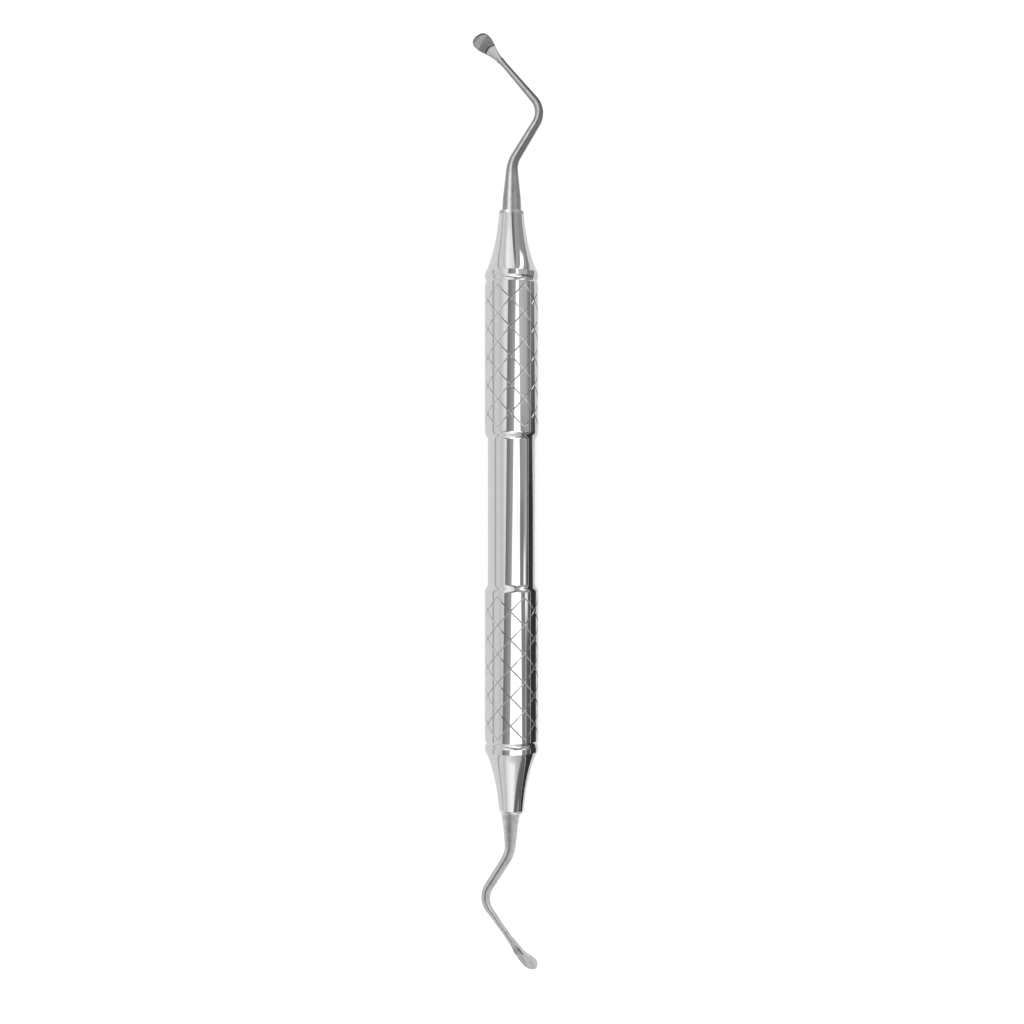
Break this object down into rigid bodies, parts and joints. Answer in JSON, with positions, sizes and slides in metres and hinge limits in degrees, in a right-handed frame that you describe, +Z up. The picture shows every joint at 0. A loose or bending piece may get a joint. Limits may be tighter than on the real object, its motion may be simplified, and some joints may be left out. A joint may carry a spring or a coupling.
{
  "type": "dental hand scaler",
  "caption": "Double-ended steel dental hand instrument with a hollow diamond-engraved handle, flared noses and bent tapered shanks that end in small spoons.",
  "frame": {"origin": "middle of the handle, on its axis; the grips' underside is 5 mm below it", "axes": "+X along the handle towards the longer tip, +Z up, out of the spoons' hollow faces; the shanks bend in the horizontal XY plane"},
  "size_m": [0.1771, 0.0135, 0.01],
  "materials": {
    "polished_steel": "mirror-polished stainless steel",
    "shank_steel": "semi-polished hardened stainless steel"
  },
  "bodies": {
    "root": {"handle_tube": "polished_steel", "right_nose": "polished_steel", "left_nose": "polished_steel", "right_tip": "shank_steel", "left_tip": "shank_steel"}
  },
  "joints": []
}
